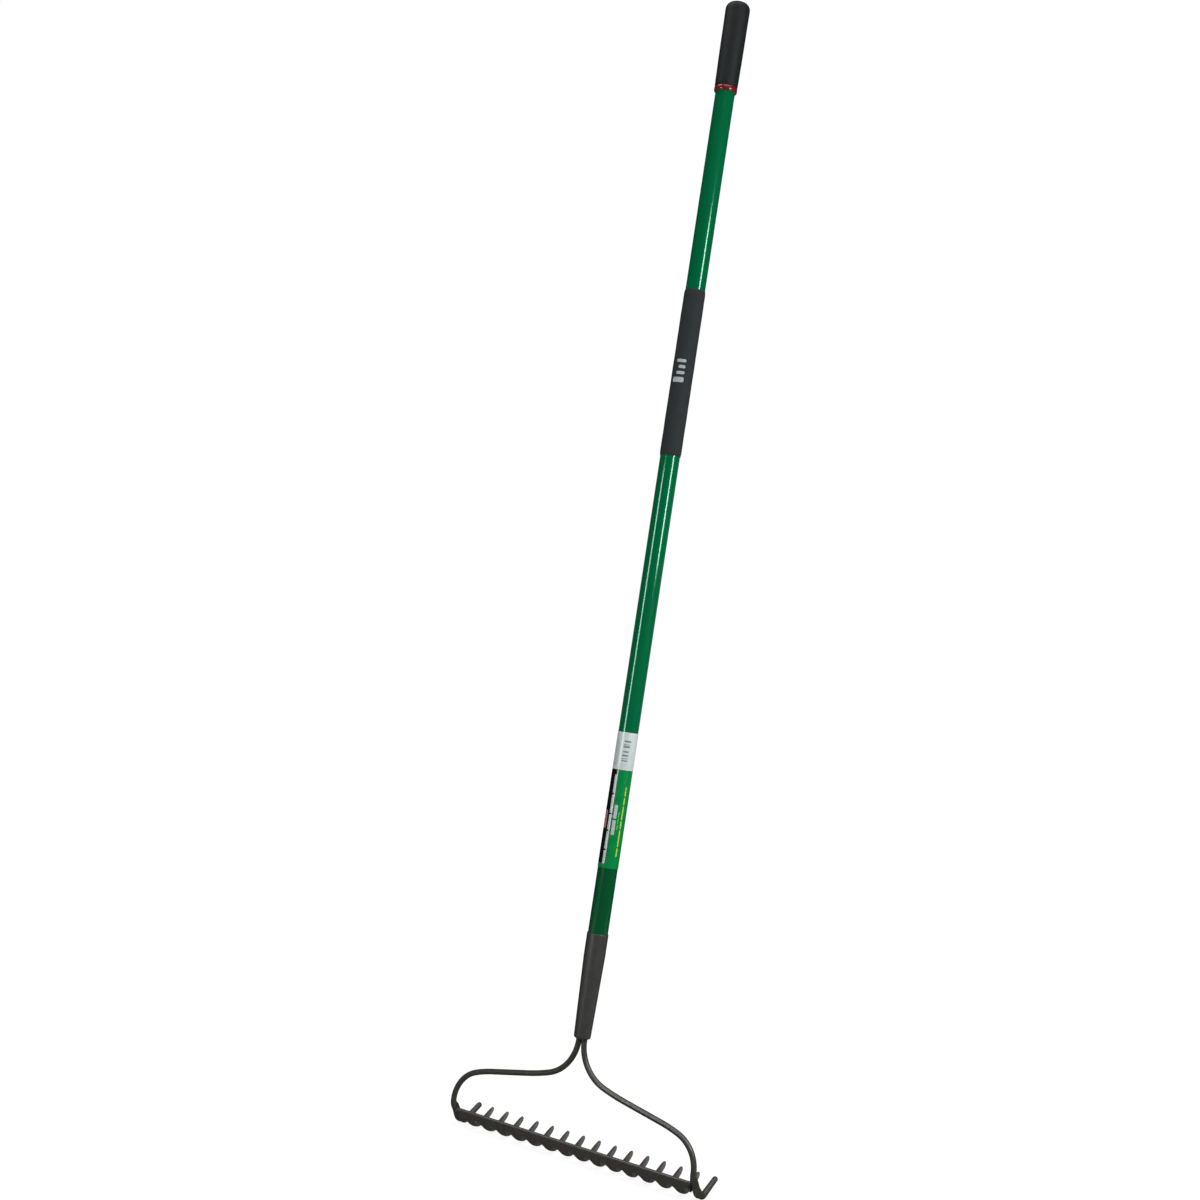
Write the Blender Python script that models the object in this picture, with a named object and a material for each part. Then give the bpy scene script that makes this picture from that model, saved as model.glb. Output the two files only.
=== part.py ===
"""Bow rake: a steel rake head welded between the two ends of a rod bow, on a long fibreglass handle.

Metres, +Z up. The rake stands upright with the grip at the top. +X runs along the rake head and
+Y points the way the tines point. The origin is on the ground under the middle of the rake.
"""

from math import cos, pi, radians, sin, sqrt, tan, tau

import bmesh
import bpy
from mathutils import Vector

MM = 0.001

# ---- handle, heights above the lower end of the ferrule ----
TUBE_R = 14.3 * MM
TUBE_BORE_R = 10.7 * MM
TUBE_BOTTOM = 121.0 * MM
TUBE_TOP = 1494.0 * MM
ROUND_SIDES = 48

FERRULE_BOTTOM = 1.5 * MM
FERRULE_TOP = 149.5 * MM
FERRULE_TAPER = 118.0 * MM
FERRULE_R = 15.3 * MM
FERRULE_END_R = 12.1 * MM
FERRULE_WALL = 0.8 * MM
FERRULE_NOSE = 3.4 * MM

CORE_BOTTOM = 5.5 * MM
CORE_TOP = 196.0 * MM
TANG_TOP = 150.0 * MM

LABEL_BOTTOM = 242.5 * MM
LABEL_SPLIT = 382.0 * MM
LABEL_TOP = 435.5 * MM
LABEL_IN = 14.42 * MM
LABEL_R = 14.7 * MM

MID_GRIP_BOTTOM = 836.0 * MM
MID_GRIP_TOP = 1079.0 * MM
MID_GRIP_R = 15.6 * MM

RING_BOTTOM = 1375.3 * MM
RING_TOP = 1382.0 * MM
RING_R = 16.9 * MM
END_GRIP_BOTTOM_R = 16.8 * MM
END_GRIP_TOP_R = 18.0 * MM
END_GRIP_TOP = 1510.5 * MM
CROWN_R = 10.5 * MM
SLEEVE_IN = 14.5 * MM

# ---- bow: each rod drops from the ferrule, sweeps out, then drops to its end of the bar ----
ROD_R = 4.1 * MM
TANG_X = 4.5 * MM
ROD_SIDES = 14
BOW_HALF = 200.4 * MM
SHOULDER_Z = -0.3 * MM
SHOULDER_R = 60.5 * MM
SHOULDER_EASE = radians(6.6)
SHOULDER_EASE_R = 326.0 * MM
ARM_SLOPE = radians(11.9)
CORNER_EASE = radians(8.6)
CORNER_EASE_R = 190.0 * MM
CORNER_R = 48.1 * MM
ARM_Y = 2.4 * MM

# ---- end tines: each rod's foot leans forward past the bar's end, then turns up in a tight bend ----
FOOT_Z = -134.5 * MM
FOOT_BEND_R = 16.0 * MM
FOOT_LEAN = radians(52.0)
FOOT_RUN = 33.1 * MM
FRONT_WEB = 4.0 * MM
BACK_WEB = 5.4 * MM
TOE_R = 8.5 * MM
TOE_RISE = radians(30.0)
END_TINE_RUN = 36.8 * MM
END_TINE_R = 4.6 * MM
END_TIP_R = 3.9 * MM

# ---- rake head: its section leaves the bar's upper edge, bends forward and curls up to the tips ----
PITCH = 26.9 * MM
INNER_TINES = 14
BAR_HALF = 195.5 * MM
BAR_THICK = 5.0 * MM
EDGE_Y = 7.6 * MM
EDGE_Z = -146.7 * MM
BAR_LEAN = radians(32.5)
BAR_FLAT = 15.4 * MM
BEND_R = 21.0 * MM
BEND_RISE = radians(16.5)
CURL_R = 77.0 * MM
TINE_RUN = 38.4 * MM
CUSP_S = 13.6 * MM
WELD_START = 4.75
WELD_LIFT = 2.86 * MM

# ---- where the handle's foot stands over the origin ----
BASE = Vector((0.0, -29.24 * MM, 173.78 * MM))


def material(name, colour, rough, metal):
    mat = bpy.data.materials.new(name)
    mat.use_nodes = True
    shader = mat.node_tree.nodes["Principled BSDF"]
    shader.inputs["Base Color"].default_value = (*colour, 1.0)
    shader.inputs["Roughness"].default_value = rough
    shader.inputs["Metallic"].default_value = metal
    mat.diffuse_color = (*colour, 1.0)
    return mat


def add_part(name, bm, mat, smooth=True):
    """Turn a closed bmesh into a named object that hangs from the base empty."""
    bmesh.ops.recalc_face_normals(bm, faces=bm.faces)
    mesh = bpy.data.meshes.new(name)
    bm.to_mesh(mesh)
    bm.free()
    mesh.materials.append(mat)
    if smooth:
        mesh.shade_smooth()
        mesh.set_sharp_from_angle(angle=radians(35.0))
    obj = bpy.data.objects.new(name, mesh)
    obj.parent = base
    bpy.context.collection.objects.link(obj)
    return obj


def loft(loops, ring=False):
    """Skin equal-length loops of points. A ring joins the last loop to the first; otherwise both are capped."""
    bm = bmesh.new()
    rows = [[bm.verts.new(p) for p in loop] for loop in loops]
    count = len(rows[0])
    pairs = list(zip(rows, rows[1:]))
    if ring:
        pairs.append((rows[-1], rows[0]))
    for low, high in pairs:
        for k in range(count):
            n = (k + 1) % count
            bm.faces.new((low[k], low[n], high[n], high[k]))
    if not ring:
        bm.faces.new(rows[0])
        bm.faces.new(rows[-1])
    return bm


def circle(r, z, sides=ROUND_SIDES):
    return [Vector((r * cos(tau * k / sides), r * sin(tau * k / sides), z)) for k in range(sides)]


def twin_hole(half, r, z, sides=ROUND_SIDES):
    """A long round-ended hole for two rods side by side, with its points at even angles."""
    points = []
    for k in range(sides):
        a = tau * k / sides
        c, s = cos(a), sin(a)
        flat = r / abs(s) if abs(s) > 1e-9 else 1e9
        reach = flat
        if abs(flat * c) > half:
            reach = half * abs(c) + sqrt(max(r * r - (half * s) ** 2, 0.0))
        points.append(Vector((reach * c, reach * s, z)))
    return points


def lathe(profile, ring=True):
    """Turn a list of (radius, height) points about the handle's axis."""
    return loft([circle(r, z) for r, z in profile], ring)


def bent(start, heading, segments, s):
    """Point and direction at length s along straight and arc segments given as (length, radius or None)."""
    point = Vector(start)
    for length, radius in segments:
        step = min(s, length)
        if radius is None:
            point += Vector((cos(heading), sin(heading))) * step
        else:
            turned = heading + step / radius
            point += Vector((sin(turned) - sin(heading), cos(heading) - cos(turned))) * radius
            heading = turned
        s -= step
    return point, Vector((cos(heading), sin(heading)))


HEAD_SECTION = (
    (BAR_FLAT, None),
    (BEND_R * (pi / 2 - BAR_LEAN + BEND_RISE), BEND_R),
    (TINE_RUN, CURL_R),
)
TINE_END_S = sum(length for length, radius in HEAD_SECTION)
FOOT_SECTION = (
    (FOOT_BEND_R * FOOT_LEAN, FOOT_BEND_R),
    (FOOT_RUN, None),
    (TOE_R * (pi / 2 - FOOT_LEAN + TOE_RISE), TOE_R),
    (END_TINE_RUN, None),
)
FOOT_LENGTH = sum(length for length, radius in FOOT_SECTION[:2])
END_SHARE = sum(length for length, radius in FOOT_SECTION) / FOOT_LENGTH
FOOT_STEPS = (5, 6, 6, 4)
ARM_STEPS = (8, 2, 2, 2, 8)


def head_section(s):
    """The rake head's bent section: (y, z) and direction at length s from the bar's upper edge."""
    return bent((EDGE_Y, EDGE_Z), BAR_LEAN - pi / 2, HEAD_SECTION, s)


def build_tube():
    """Hollow fibreglass handle, open at both ends."""
    profile = [
        (TUBE_BORE_R, TUBE_BOTTOM),
        (TUBE_R, TUBE_BOTTOM),
        (TUBE_R, TUBE_TOP),
        (TUBE_BORE_R, TUBE_TOP),
    ]
    add_part("handle_tube", lathe(profile), pole)


def build_tube_plug():
    """Plastic plug that closes the top of the tube, with a flange on the tube's rim."""
    flange = TUBE_TOP + 0.3 * MM
    profile = [
        (9.6 * MM, TUBE_TOP - 28.0 * MM),
        (10.4 * MM, TUBE_TOP - 25.0 * MM),
        (10.4 * MM, flange),
        (13.6 * MM, flange),
        (13.6 * MM, flange + 2.0 * MM),
    ]
    add_part("tube_plug", lathe(profile, ring=False), plug_plastic)


def build_core():
    """Stepped plug in the tube's lower end and the ferrule's taper, with one hole for both tangs."""
    slope = (FERRULE_R - FERRULE_END_R) / (FERRULE_TAPER - FERRULE_BOTTOM - FERRULE_NOSE)
    foot_r = FERRULE_END_R - FERRULE_WALL - 0.35 * MM
    neck = TUBE_BOTTOM - 0.4 * MM
    neck_r = min(foot_r + slope * (neck - CORE_BOTTOM), TUBE_R - 0.3 * MM)
    plug_r = TUBE_BORE_R - 0.3 * MM
    hole = ROD_R + 0.3 * MM
    loops = [
        twin_hole(TANG_X, hole, TANG_TOP + 0.5 * MM),
        twin_hole(TANG_X, hole, CORE_BOTTOM),
        circle(foot_r, CORE_BOTTOM),
        circle(neck_r, neck),
        circle(plug_r, neck),
        circle(plug_r, CORE_TOP - 3.0 * MM),
        circle(plug_r - 1.5 * MM, CORE_TOP),
    ]
    add_part("core_plug", loft(loops), core_plastic)


def build_ferrule():
    """Tapered steel ferrule, closed in at its lower end round the two rods."""
    inner = FERRULE_R - FERRULE_WALL
    nose = FERRULE_END_R
    hole = ROD_R + 0.45 * MM
    loops = [twin_hole(TANG_X, hole, FERRULE_BOTTOM)]
    for k in range(5):
        a = pi / 2 * k / 4
        spot = FERRULE_BOTTOM + FERRULE_NOSE * (1 - cos(a))
        loops.append(circle(nose - FERRULE_NOSE * (1 - sin(a)), spot))
    loops.append(circle(FERRULE_R, FERRULE_TAPER))
    loops.append(circle(FERRULE_R, FERRULE_TOP))
    loops.append(circle(inner, FERRULE_TOP))
    loops.append(circle(inner, FERRULE_TAPER))
    loops.append(circle(nose - FERRULE_WALL, FERRULE_BOTTOM + FERRULE_NOSE))
    loops.append(circle(nose - FERRULE_WALL - 1.6 * MM, FERRULE_BOTTOM + 1.5 * MM))
    loops.append(twin_hole(TANG_X, hole, FERRULE_BOTTOM + 1.3 * MM))
    add_part("ferrule", loft(loops, ring=True), ferrule_paint)


def build_label(name, low, high, mat):
    profile = [(LABEL_IN, low), (LABEL_R, low), (LABEL_R, high), (LABEL_IN, high)]
    add_part(name, lathe(profile), mat)


def build_mid_grip():
    """Thin foam sleeve round the handle where the lower hand holds it."""
    soft = 0.6 * MM
    profile = [
        (SLEEVE_IN, MID_GRIP_BOTTOM),
        (MID_GRIP_R - soft, MID_GRIP_BOTTOM),
        (MID_GRIP_R, MID_GRIP_BOTTOM + soft),
        (MID_GRIP_R, MID_GRIP_TOP - soft),
        (MID_GRIP_R - soft, MID_GRIP_TOP),
        (SLEEVE_IN, MID_GRIP_TOP),
    ]
    add_part("mid_grip", lathe(profile), mid_foam)


def build_end_grip():
    """Slip-on grip with a domed, closed crown. It opens downwards over the tube."""
    bottom = RING_TOP + 0.3 * MM
    crown = END_GRIP_TOP - CROWN_R
    profile = [
        (SLEEVE_IN, TUBE_TOP + 3.0 * MM),
        (SLEEVE_IN, bottom),
        (END_GRIP_BOTTOM_R, bottom),
        (END_GRIP_TOP_R, crown),
    ]
    for k in range(1, 6):
        a = pi / 2 * k / 5
        profile.append((END_GRIP_TOP_R - CROWN_R * (1 - cos(a)), crown + CROWN_R * sin(a)))
    add_part("end_grip", lathe(profile, ring=False), end_foam)


def build_ring():
    """Coloured trim ring below the end grip, rounded off at its lower edge."""
    profile = [
        (SLEEVE_IN, RING_BOTTOM),
        (RING_R - 1.6 * MM, RING_BOTTOM),
        (RING_R - 0.5 * MM, RING_BOTTOM + 1.1 * MM),
        (RING_R, RING_BOTTOM + 2.6 * MM),
        (RING_R, RING_TOP - 0.4 * MM),
        (RING_R - 0.4 * MM, RING_TOP),
        (SLEEVE_IN, RING_TOP),
    ]
    add_part("grip_ring", lathe(profile), ring_plastic)


def arm_points():
    """(x, z) of the bow arm's centreline: shoulder bend, long ease, straight slope, ease and corner bend."""
    shoulder = (
        (SHOULDER_R * (pi / 2 - ARM_SLOPE - SHOULDER_EASE), SHOULDER_R),
        (SHOULDER_EASE_R * SHOULDER_EASE, SHOULDER_EASE_R),
    )
    corner = (
        (CORNER_EASE_R * CORNER_EASE, -CORNER_EASE_R),
        (CORNER_R * (pi / 2 - ARM_SLOPE - CORNER_EASE), -CORNER_R),
    )
    start = (TANG_X, SHOULDER_Z)
    first = bent((0.0, 0.0), -pi / 2, shoulder, 1.0)[0].x
    last = bent((0.0, 0.0), -ARM_SLOPE, corner, 1.0)[0].x
    reach = (BOW_HALF - TANG_X - first - last) / cos(ARM_SLOPE)
    segments = shoulder + ((reach, None),) + corner
    points = [Vector(start)]
    gone = 0.0
    for (length, radius), steps in zip(segments, ARM_STEPS):
        for k in range(1, steps + 1):
            points.append(bent(start, -pi / 2, segments, gone + length * k / steps)[0])
        gone += length
    return points


def arm_depth(z):
    """How far forward the arm stands at height z."""
    share = min(1.0, max(0.0, (-10.0 * MM - z) / (95.0 * MM)))
    return ARM_Y * share * share * (3 - 2 * share)


def rod_path(side):
    """(point, share) down one bow rod: share grows to 1 along its foot and then on along its end tine."""
    path = [Vector((TANG_X, 0.0, TANG_TOP)), Vector((TANG_X, 0.0, 24.0 * MM))]
    path += [Vector((p.x, arm_depth(p.y), p.y)) for p in arm_points()]
    path.append(Vector((BOW_HALF, ARM_Y, FOOT_Z)))
    stations = [(p, 0.0) for p in path]
    gone = 0.0
    for (length, radius), steps in zip(FOOT_SECTION, FOOT_STEPS):
        for k in range(1, steps + 1):
            s = gone + length * k / steps
            point = bent((ARM_Y, FOOT_Z), -pi / 2, FOOT_SECTION, s)[0]
            stations.append((Vector((BOW_HALF, point.x, point.y)), s / FOOT_LENGTH))
        gone += length
    return [(Vector((side * p.x, p.y, p.z)), share) for p, share in stations]


def foot_radius(share):
    """The rod's radius: it thickens down the foot and thins along the end tine."""
    if share <= 1.0:
        return ROD_R + (END_TINE_R - ROD_R) * share
    return END_TINE_R + (END_TIP_R - END_TINE_R) * (share - 1.0) / (END_SHARE - 1.0)


def hump(share, low, high):
    """A smooth rise and fall between two shares, nought outside them."""
    return sin(pi * min(1.0, max(0.0, (share - low) / (high - low))))


def build_rod(name, side):
    """Round rod swept along its path, its foot beaten broad to the front and then the back, its tine blunt."""
    path = rod_path(side)
    last = (path[-1][0] - path[-2][0]).normalized()
    tip, end_share = path.pop()
    path += [(tip - last * d * MM, end_share) for d in (4.0, 2.0, 0.8, 0.0)]
    front = Vector((0.0, 1.0, 0.0))
    loops = []
    for k, (point, share) in enumerate(path):
        before = path[max(k - 1, 0)][0]
        after = path[min(k + 1, len(path) - 1)][0]
        along = (after - before).normalized()
        front = (front - along * front.dot(along)).normalized()
        across = along.cross(front)
        ahead = FRONT_WEB * hump(share, 0.0, 0.65)
        behind = BACK_WEB * hump(share, 0.3, 1.02)
        end = k - len(path) + 3
        radius = foot_radius(share) * ((0.87, 0.6, 0.25)[end] if end >= 0 else 1.0)
        wide = radius - 0.05 * (ahead + behind)
        loop = []
        for j in range(ROD_SIDES):
            a = tau * j / ROD_SIDES
            reach = radius + ahead * max(0.0, cos(a)) + behind * max(0.0, -cos(a))
            loop.append(point + front * (reach * cos(a)) + across * (wide * sin(a)))
        loops.append(loop)
    add_part(name, loft(loops), bow_paint)


def tine_width(s):
    """Full width of an inner tine at length s: a broad root, a slim neck and a leaf-shaped blade."""
    table = [
        (CUSP_S, PITCH),
        (CUSP_S + 1.0 * MM, 21.8 * MM),
        (CUSP_S + 2.6 * MM, 17.0 * MM),
        (CUSP_S + 5.0 * MM, 13.3 * MM),
        (CUSP_S + 8.5 * MM, 11.4 * MM),
        (CUSP_S + 14.0 * MM, 10.7 * MM),
        (TINE_END_S - 27.0 * MM, 9.2 * MM),
        (TINE_END_S - 16.0 * MM, 8.9 * MM),
        (TINE_END_S - 10.0 * MM, 8.3 * MM),
        (TINE_END_S - 5.0 * MM, 6.9 * MM),
        (TINE_END_S - 1.5 * MM, 4.9 * MM),
        (TINE_END_S, 2.6 * MM),
    ]
    for (s0, w0), (s1, w1) in zip(table, table[1:]):
        if s <= s1:
            return w0 + (w1 - w0) * (s - s0) / (s1 - s0)
    return table[-1][1]


def head_point(x, s, offset):
    point, along = head_section(s)
    back = Vector((along.y, -along.x))
    spot = point + back * offset
    return Vector((x, spot.x, spot.y))


def end_thinning(x):
    """Share of the thickness left where the bar's ends are dressed a little thinner for welding."""
    past = (abs(x) - INNER_TINES * PITCH / 2) / (BAR_HALF - INNER_TINES * PITCH / 2)
    return 1.0 - 0.08 * max(0.0, past)


def head_thickness(s, across):
    """Thickness at length s: a rounded upper edge, a full bar, then tines thinned to their tips and edges."""
    if s < 2.2 * MM:
        return BAR_THICK * (0.45 + 0.55 * sqrt(s / (2.2 * MM)))
    if s <= CUSP_S:
        return BAR_THICK
    fade = (s - CUSP_S) / (TINE_END_S - CUSP_S)
    middle = BAR_THICK * (1.0 - 0.42 * fade)
    thin = min(1.0, (s - CUSP_S) / (8.5 * MM))
    return middle * (1.0 - 0.45 * thin * across * across)


def build_head():
    """One stamping: the bar and its inner tines, bent forward at the foot."""
    bm = bmesh.new()
    across = (-1.0, -0.5, 0.0, 0.5, 1.0)
    bar_rows = [0.0, 0.9 * MM, 2.2 * MM, 8.0 * MM, CUSP_S]
    tine_rows = [CUSP_S + d * MM for d in (1.0, 2.6, 5.0, 8.5, 14.0, 20.0, 27.0)]
    tine_rows += [TINE_END_S - d * MM for d in (27.0, 16.0, 10.0, 5.0, 1.5, 0.0)]
    roots = [(k - (INNER_TINES - 1) / 2) * PITCH for k in range(INNER_TINES)]
    columns = [(-BAR_HALF, 0.0)]
    for root in roots:
        columns += [(root + a * PITCH / 2, a) for a in across[:-1]]
    columns += [(roots[-1] + PITCH / 2, 1.0), (BAR_HALF, 0.0)]

    def pair(x, s, a):
        t = head_thickness(s, a) * end_thinning(x) / 2
        return bm.verts.new(head_point(x, s, t)), bm.verts.new(head_point(x, s, -t))

    def skin(a, b, c, d):
        """Back and front faces of one cell whose corners are (back, front) pairs."""
        bm.faces.new((a[0], b[0], c[0], d[0]))
        bm.faces.new((a[1], d[1], c[1], b[1]))

    def wall(a, b):
        bm.faces.new((a[0], a[1], b[1], b[0]))

    grid = [[pair(x, s, 0.0) for x, a in columns] for s in bar_rows]
    for upper, lower in zip(grid, grid[1:]):
        for k in range(len(columns) - 1):
            skin(upper[k], upper[k + 1], lower[k + 1], lower[k])
        wall(upper[0], lower[0])
        wall(lower[-1], upper[-1])
    for k in range(len(columns) - 1):
        wall(grid[0][k + 1], grid[0][k])
    for side, outer, inner in ((-1.0, grid[-1][0], grid[-1][1]), (1.0, grid[-1][-1], grid[-1][-2])):
        for s in tine_rows[:2]:
            low_outer = pair(side * BAR_HALF, s, 0.0)
            low_inner = pair(side * (BOW_HALF - 0.45 * tine_width(s)), s, 0.0)
            skin(outer, inner, low_inner, low_outer)
            wall(outer, low_outer)
            wall(inner, low_inner)
            outer, inner = low_outer, low_inner
        wall(outer, inner)
    for i, root in enumerate(roots):
        first = 1 + 4 * i
        above = grid[-1][first : first + 5]
        for s in tine_rows:
            half = tine_width(s) / 2
            row = [pair(root + a * half, s, a) for a in across]
            for k in range(4):
                skin(above[k], above[k + 1], row[k + 1], row[k])
            wall(above[0], row[0])
            wall(row[4], above[4])
            above = row
        for k in range(4):
            wall(above[k], above[k + 1])
    add_part("rake_head", bm, head_paint)


def build_weld(name, side):
    """Weld bead behind the bar's end, in the corner between its back face and the side of the rod's foot."""
    loops = []
    for k in range(7):
        s = (1.2 + 11.0 * k / 6) * MM
        swell = 0.8 + 0.2 * sin(pi * k / 6)
        shape = [
            (WELD_START, WELD_LIFT),
            (WELD_START, WELD_LIFT + 2.6 * MM * swell),
            (WELD_START + 0.8, WELD_LIFT + 2.1 * MM * swell),
            (WELD_START + 1.7, WELD_LIFT + 1.1 * MM * swell),
            (WELD_START + 2.7 * swell, WELD_LIFT + 0.3 * MM),
            (WELD_START + 3.0 * swell, WELD_LIFT),
        ]
        loops.append([head_point(side * (BOW_HALF - u * MM), s, w) for u, w in shape])
    add_part(name, loft(loops), weld_paint)


for item in list(bpy.data.objects):
    bpy.data.objects.remove(item, do_unlink=True)

base = bpy.data.objects.new("rake_base", None)
base.location = BASE
bpy.context.collection.objects.link(base)

pole = material("pole", (0.003, 0.105, 0.036), 0.25, 0.0)
plug_plastic = material("plug_plastic", (0.02, 0.02, 0.02), 0.5, 0.0)
core_plastic = material("core_plastic", (0.02, 0.02, 0.02), 0.5, 0.0)
ferrule_paint = material("ferrule_paint", (0.036, 0.037, 0.033), 0.45, 0.3)
label_print = material("label_print", (0.004, 0.17, 0.06), 0.35, 0.0)
sticker_paper = material("sticker_paper", (0.62, 0.64, 0.65), 0.45, 0.0)
mid_foam = material("mid_foam", (0.032, 0.038, 0.042), 0.9, 0.0)
end_foam = material("end_foam", (0.018, 0.021, 0.024), 0.8, 0.0)
ring_plastic = material("ring_plastic", (0.28, 0.012, 0.02), 0.3, 0.0)
bow_paint = material("bow_paint", (0.043, 0.043, 0.034), 0.45, 0.3)
head_paint = material("head_paint", (0.05, 0.044, 0.038), 0.45, 0.3)
weld_paint = material("weld_paint", (0.04, 0.038, 0.033), 0.5, 0.3)

build_tube()
build_tube_plug()
build_core()
build_ferrule()
build_label("label_sleeve", LABEL_BOTTOM, LABEL_SPLIT - 0.15 * MM, label_print)
build_label("label_sticker", LABEL_SPLIT + 0.15 * MM, LABEL_TOP, sticker_paper)
build_mid_grip()
build_end_grip()
build_ring()
build_rod("bow_rod_right", 1.0)
build_rod("bow_rod_left", -1.0)
build_head()
build_weld("weld_right", 1.0)
build_weld("weld_left", -1.0)
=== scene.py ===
"""Looks of the bow rake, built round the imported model.

Metres, +Z up, in the model's own frame: the rake stands upright, +X runs along the rake head and +Y points
the way the tines point. Pieces are drawn round BASE, on the handle's axis just under the ferrule's nose.
"""
import random
from math import cos, pi, radians, sin, sqrt, tau

import bmesh
import bpy
from mathutils import Matrix, Vector


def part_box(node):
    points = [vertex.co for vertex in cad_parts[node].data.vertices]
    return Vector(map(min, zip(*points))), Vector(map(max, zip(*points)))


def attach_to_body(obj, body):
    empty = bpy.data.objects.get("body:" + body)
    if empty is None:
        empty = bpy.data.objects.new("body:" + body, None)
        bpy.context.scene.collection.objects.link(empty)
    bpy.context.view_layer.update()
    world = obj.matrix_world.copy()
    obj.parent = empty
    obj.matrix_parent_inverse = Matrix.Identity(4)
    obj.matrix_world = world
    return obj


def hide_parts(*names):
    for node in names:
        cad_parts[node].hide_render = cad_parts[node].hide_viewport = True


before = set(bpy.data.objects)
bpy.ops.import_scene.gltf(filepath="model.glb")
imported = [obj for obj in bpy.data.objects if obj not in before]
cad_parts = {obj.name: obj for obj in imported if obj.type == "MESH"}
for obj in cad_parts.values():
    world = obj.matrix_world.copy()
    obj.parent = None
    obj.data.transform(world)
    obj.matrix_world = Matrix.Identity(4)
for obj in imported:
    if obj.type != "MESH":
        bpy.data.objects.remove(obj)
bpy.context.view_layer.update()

MM = 0.001

# ---- handle ----
TUBE_LOW, TUBE_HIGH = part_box("handle_tube")
FERRULE_BOTTOM = 1.5 * MM
BASE = Vector((0.0, (TUBE_LOW.y + TUBE_HIGH.y) / 2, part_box("ferrule")[0].z - FERRULE_BOTTOM))
FRONT = radians(-60.0)  # seen from above, the way the printed label faces and the camera's side
POLE_WALL = 3.6 * MM
FOAM_BORE = 14.5 * MM
FILM = 0.26 * MM
STRIP_LIFT = 0.06 * MM
INK_LIFT = 0.05 * MM
SIDES = 96

# ---- bow: bends and runs of the rods, from the ferrule down to the tips of the end tines ----
ROD_R = 4.1 * MM
TANG_X = 4.5 * MM  # each rod's axis in the ferrule
BOW_HALF = 200.4 * MM  # each rod's axis at its foot
SHOULDER_Z = -0.3 * MM
SHOULDER_R = 60.5 * MM
SHOULDER_EASE = radians(6.6)
SHOULDER_EASE_R = 326.0 * MM
ARM_SLOPE = radians(11.9)
CORNER_EASE = radians(8.6)
CORNER_EASE_R = 190.0 * MM
CORNER_R = 48.1 * MM
ARM_Y = 2.4 * MM  # how far the arms ease forward
FOOT_Z = -134.5 * MM
FOOT_BEND_R = 16.0 * MM
FOOT_LEAN = radians(52.0)
FOOT_RUN = 33.1 * MM
FRONT_WEB = 4.0 * MM  # how far the foot is beaten out in front, then behind
BACK_WEB = 5.4 * MM
TOE_R = 8.5 * MM
TOE_RISE = radians(30.0)
END_TINE_RUN = 36.8 * MM
END_TINE_R = 4.6 * MM
END_TIP_R = 3.9 * MM

# ---- rake head: the stamping's section, counted from its upper edge ----
PITCH = 26.9 * MM
INNER_TINES = 14
BAR_HALF = 195.5 * MM
BAR_THICK = 5.0 * MM
EDGE_Y = 7.6 * MM
EDGE_Z = -146.7 * MM
BAR_LEAN = radians(32.5)
BAR_FLAT = 15.4 * MM
BEND_R = 21.0 * MM
BEND_RISE = radians(16.5)
CURL_R = 77.0 * MM
TINE_RUN = 38.4 * MM
CUSP_S = 13.6 * MM  # where the tines part
NECK = 8.5 * MM
EDGE_ROUND = 2.2 * MM


# ---------------------------------------------------------------- shapes

def loft(loops, ring=False):
    """Skin equal-length loops of points. A ring joins its last loop to its first; other lofts are capped."""
    bm = bmesh.new()
    rows = [[bm.verts.new(p) for p in loop] for loop in loops]
    count = len(rows[0])
    pairs = list(zip(rows, rows[1:]))
    if ring:
        pairs.append((rows[-1], rows[0]))
    for low, high in pairs:
        for k in range(count):
            n = (k + 1) % count
            bm.faces.new((low[k], low[n], high[n], high[k]))
    if not ring:
        bm.faces.new(rows[0])
        bm.faces.new(rows[-1])
    return bm


def circle(r, z):
    return [Vector((r * cos(tau * k / SIDES), r * sin(tau * k / SIDES), z)) for k in range(SIDES)]


def twin_hole(half, r, z):
    """A long round-ended hole for two rods side by side, with its points at even angles."""
    points = []
    for k in range(SIDES):
        a = tau * k / SIDES
        c, s = cos(a), sin(a)
        reach = r / abs(s) if abs(s) > 1e-9 else 1e9
        if abs(reach * c) > half:
            reach = half * abs(c) + sqrt(max(r * r - (half * s) ** 2, 0.0))
        points.append(Vector((reach * c, reach * s, z)))
    return points


def softened(corners, radius):
    """Round every corner of a closed (radius, height) outline with a small curve."""
    steps = 4
    points = [Vector(c) for c in corners]
    out = []
    for k, here in enumerate(points):
        back = points[k - 1] - here
        ahead = points[(k + 1) % len(points)] - here
        reach = min(radius, 0.45 * back.length, 0.45 * ahead.length)
        first = here + back.normalized() * reach
        last = here + ahead.normalized() * reach
        for j in range(steps + 1):
            t = j / steps
            out.append(first * (1 - t) ** 2 + here * 2 * t * (1 - t) + last * t ** 2)
    return [(p.x, p.y) for p in out]


def turned(profile, ring=True):
    """A (radius, height) outline turned round the handle's axis."""
    return loft([circle(r, z) for r, z in profile], ring)


def attach(name, bm, mat):
    """Make an object of a shape drawn round BASE, and let it ride on the rake."""
    for v in bm.verts:
        v.co += BASE
    mesh = bpy.data.meshes.new(name)
    bm.to_mesh(mesh)
    bm.free()
    mesh.materials.append(mat)
    mesh.shade_smooth()
    obj = bpy.data.objects.new(name, mesh)
    bpy.context.scene.collection.objects.link(obj)
    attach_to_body(obj, "root")
    return obj


def show(name, bm, mat, node, angle=35.0):
    """A closed piece that stands in for a CAD node. Edges sharper than the angle, in degrees, stay crisp."""
    bmesh.ops.recalc_face_normals(bm, faces=bm.faces)
    obj = attach(name, bm, mat)
    obj.data.set_sharp_from_angle(angle=radians(angle))
    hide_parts(node)
    return obj


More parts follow.
